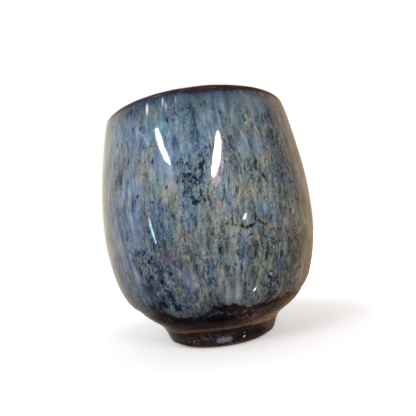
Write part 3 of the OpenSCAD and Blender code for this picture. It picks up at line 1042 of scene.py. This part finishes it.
def lamp(name, radiance, tint, place, aim, size, tall, along, seen):
    """A soft lamp whose length lies along a direction; the cup's gloss shows it only where seen is set."""
    source = bpy.data.lights.new(name, "AREA")
    source.shape = "ELLIPSE"
    source.size = size
    source.size_y = tall
    source.color = tint
    source.energy = radiance * math.pi * (math.pi / 4 * size * tall)
    lit = placed(name, source)
    back = (place - aim).normalized()
    side = (along - along.dot(back) * back).normalized()
    lit.matrix_world = posed(place, side, back.cross(side), back)
    lit.visible_camera = False
    lit.visible_glossy = seen


# Long lamps that the gloss mirrors: name, radiance, tint, width, and for the lower and then the upper end of
# the highlight a point on the cup in millimetres and the azimuth and elevation that it mirrors
strips = [
    ("left_strip", 34, (1, 1, 1), 0.035,
     (-6.6, -28.6, 45.1), (-32.9, 24.8), (-9.4, -26.3, 55), (-49.4, 33.5)),
    ("right_strip", 34, (1, 0.96, 0.94), 0.058,
     (2.4, -29.6, 41), (10.7, 17.3), (5.25, -28, 52), (26.5, 32.8)),
    ("right_glow", 6, (1, 0.74, 0.7), 0.1,
     (2.4, -29.6, 41), (9.8, 13), (5.2, -28, 51.6), (25.6, 30)),
    ("blue_strip", 30, (0.3, 0.55, 1), 0.022,
     (-12.4, -26.9, 28.3), (-57, -8.8), (-13.3, -26.8, 35.2), (-61.4, 4.8)),
    ("small_strip", 24, (1, 1, 1), 0.018,
     (8.4, -28.7, 30.2), (35.8, -2.4), (9, -28.5, 32.1), (40.4, 1)),
    ("faint_strip", 3, (1, 1, 1), 0.006,
     (-10.8, -26.8, 50), (-54.7, 29.2), (-13.4, -24.1, 55.5), (-73.5, 31.7)),
    ("low_strip", 22, (0.9, 0.95, 1), 0.03,
     (7.9, -24.8, 14.8), (61, -55.8), (8.4, -25.3, 15.9), (58, -50.3)),
    ("low_right_strip", 7, (1, 0.8, 0.7), 0.03,
     (12.5, -24.6, 18.3), (72, -36), (12.9, -24.7, 19.1), (71.7, -33)),
]
strip_away = 0.5
for name, radiance, tint, width, low, low_way, high, high_way in strips:
    low_end = Vector(low) * mm + strip_away * toward(*low_way)
    high_end = Vector(high) * mm + strip_away * toward(*high_way)
    run = high_end - low_end
    aim = (Vector(low) + Vector(high)) / 2 * mm
    lamp(name, radiance, tint, (low_end + high_end) / 2, aim, run.length, width, run, True)
key_place = Vector((-0.35, -0.4, 0.45))
key_aim = Vector((0, 0, 0.03))
key_along = Vector((0, 0, 1)).cross(key_place - key_aim)
key_size = 0.4
lamp("soft_key", 3, (0.94, 0.98, 1), key_place, key_aim, key_size, key_size, key_along, False)

# World: white, which is a strength of 1, to the camera and in the gloss, and a plain soft light otherwise
soft_light = 0.42
world = bpy.data.worlds.new("world")
scene.world = world
world.use_nodes = True
sky = Nodes(world.node_tree)
rays = sky.new("LightPath").outputs
seen = [Value(sky, rays[kind]) for kind in ("Is Camera Ray", "Is Glossy Ray", "Is Transmission Ray")]
shows_white = sky.math("MAXIMUM", seen[0], sky.math("MAXIMUM", seen[1], seen[2]))
strength = shows_white * (1 - soft_light) + soft_light
sky.fill(sky.tree.nodes["Background"], {"Color": (1, 1, 1, 1), "Strength": strength})


def card(name, el_from, el_to, away, rows, low_rows=None):
    """A curved card right round the cup that only its gloss shows. Rows give an azimuth and the light there,
    and low_rows are those of its lower edge where they differ."""
    middle = Vector((0, 0, 30 * mm))
    turns = np.linspace(0, 360, 72, endpoint=False)
    levels = np.linspace(el_from, el_to, 13)
    points = [middle + away * toward(az, el) for az in turns for el in levels]
    here = np.arange(len(points)).reshape(len(turns), -1)
    after = np.roll(here, -1, 0)
    quads = [here[:, :-1], here[:, 1:], after[:, 1:], after[:, :-1]]
    mesh = bpy.data.meshes.new(name)
    mesh.from_pydata(points, [], np.stack(quads, -1).reshape(-1, 4).tolist())
    sheet = placed(name, mesh)
    p = Paint(name)
    p.tree.nodes.remove(p.shader)

    def round_cup(rows):
        """The light all round. Azimuth 180 has that of the first row, which is for -180."""
        stops = [(az / 360 + 0.5, r, g, b) for az, r, g, b in rows + [(180, *rows[0][1:])]]
        return p.ramp(p.degrees * (1 / 360) + 0.5, stops, light)

    shade = round_cup(rows)
    if low_rows:
        ends = [(middle.z + away * math.sin(math.radians(el))) / mm for el in (el_from, el_to)]
        shade = p.blend(p.z.rising(*ends), round_cup(low_rows), shade)
    glow = p.new("Emission", {"Color": shade})
    p.tree.links.new(glow.outputs[0], p.tree.nodes["Material Output"].inputs["Surface"])
    mesh.materials.append(p.material)
    sheet.visible_camera = False
    sheet.visible_diffuse = False
    sheet.visible_shadow = False
    sheet.visible_transmission = False
    sheet.visible_volume_scatter = False


near_table = [
    (-180, 0.1, 0.075, 0.06), (-130, 0.05, 0.045, 0.042), (-70, 0.022, 0.021, 0.024),
    (10, 0.022, 0.02, 0.023), (50, 0.13, 0.085, 0.06), (110, 0.3, 0.19, 0.12),
]
low_share = 0.3
near_table_low = [(az, low_share * r, low_share * g, low_share * b) for az, r, g, b in near_table]
card("near_table_card", -90, -41, 0.71, near_table, near_table_low)
far_table = [
    (-180, 0.42, 0.33, 0.25), (-165, 0.6, 0.5, 0.4), (-150, 0.85, 0.76, 0.65), (-118, 0.9, 0.76, 0.58),
    (-88, 0.28, 0.25, 0.21), (-60, 0.06, 0.055, 0.05), (60, 0.08, 0.06, 0.045), (88, 0.3, 0.19, 0.11),
    (125, 0.74, 0.45, 0.25), (160, 0.45, 0.33, 0.22),
]
far_table_low = [
    (-180, 0.08, 0.06, 0.045), (-150, 0.08, 0.065, 0.05), (-118, 0.2, 0.17, 0.13), (-60, 0.02, 0.02, 0.02),
    (60, 0.03, 0.02, 0.016), (88, 0.11, 0.067, 0.04), (125, 0.36, 0.22, 0.12), (160, 0.25, 0.165, 0.1),
]
card("far_table_card", -42, -4, 0.72, far_table, far_table_low)
room = [
    (-180, 0.7, 0.6, 0.48), (-155, 1.1, 1, 0.84), (-118, 1.3, 1.08, 0.82), (-88, 0.42, 0.38, 0.33),
    (-60, 0.1, 0.1, 0.1), (60, 0.1, 0.09, 0.08), (88, 0.32, 0.21, 0.13), (125, 0.8, 0.5, 0.28),
    (155, 0.5, 0.35, 0.22),
]
card("room_card", -5, 78, 0.7, room)

# Floor: it takes the cup's shadow near the cup and is plain white further off
half = 6.0
near_glow = 0.32
floor_mesh = bpy.data.meshes.new("floor")
corners = [(-half, -half, 0), (half, -half, 0), (half, half, 0), (-half, half, 0)]
floor_mesh.from_pydata(corners, [], [(0, 1, 2, 3)])
floor = placed("floor", floor_mesh)
floor.location.z = -0.05 * mm
ground = Paint("floor")
ray = Value(ground, ground.new("LightPath").outputs["Is Camera Ray"])
far = ground.reach.rising(34, 100) * (1 - near_glow) + near_glow
ground.fill(ground.shader, {
    "Base Color": (0.9, 0.9, 0.9, 1),
    "Roughness": 0.9,
    "Emission Color": (1, 1, 1, 1),
    "Emission Strength": ray * far,
})
floor_mesh.materials.append(ground.material)
floor.visible_glossy = False

scene.view_settings.view_transform = "Standard"
